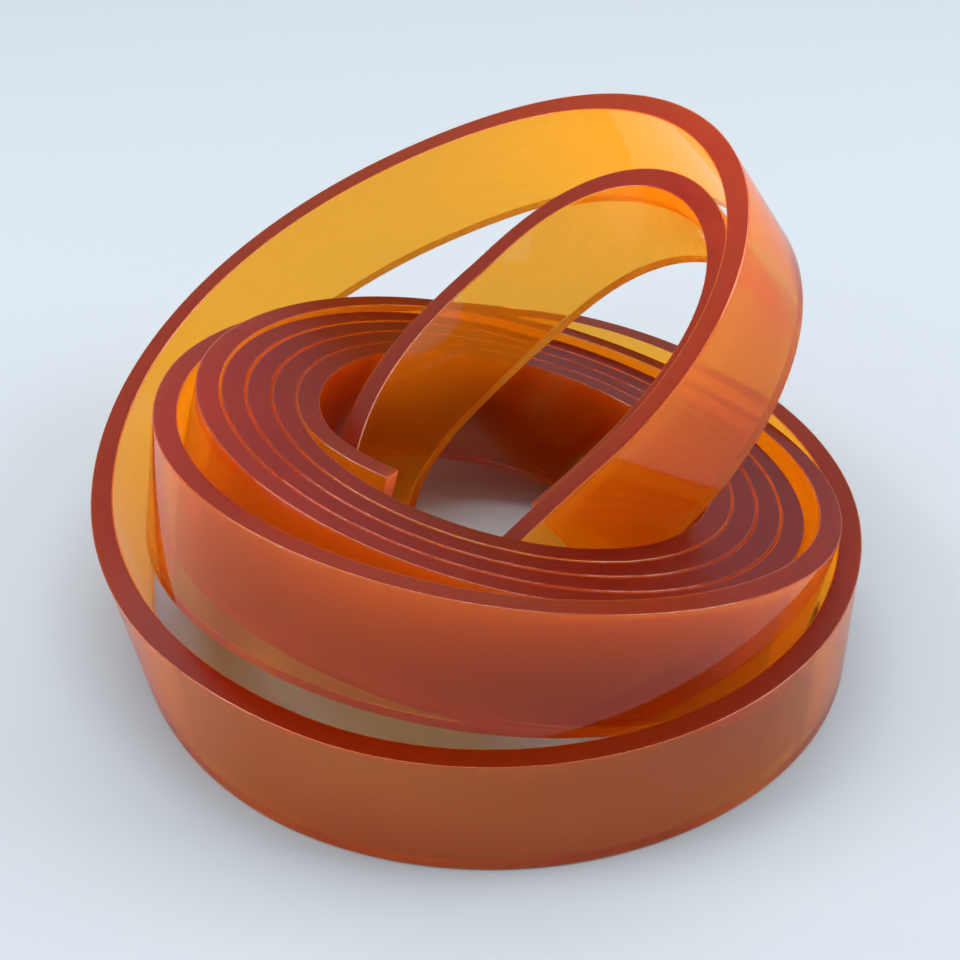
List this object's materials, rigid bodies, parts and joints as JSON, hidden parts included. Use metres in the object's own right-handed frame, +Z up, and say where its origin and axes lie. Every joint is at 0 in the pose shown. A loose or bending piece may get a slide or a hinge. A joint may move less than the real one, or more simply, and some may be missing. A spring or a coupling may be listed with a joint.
{
  "type": "screen printing squeegee blade strip",
  "caption": "Loosely coiled length of translucent amber polyurethane squeegee blade strip with a square section, standing on edge with loops of its free end raised.",
  "frame": {"origin": "centre of the coil's footprint, on the level floor it lies on", "axes": "+Z up, across the strip's width where it stands flat on the floor; +Y from the table turn at the front towards the back of the wound turns; +X to the right"},
  "size_m": [0.3006, 0.309, 0.1771],
  "materials": {
    "polyurethane": "translucent amber polyurethane, smooth and softly glossy"
  },
  "bodies": {
    "root": {"wound_turns": "polyurethane", "bowed_turn": "polyurethane", "table_turn": "polyurethane", "first_loop": "polyurethane", "second_loop": "polyurethane"}
  },
  "joints": []
}
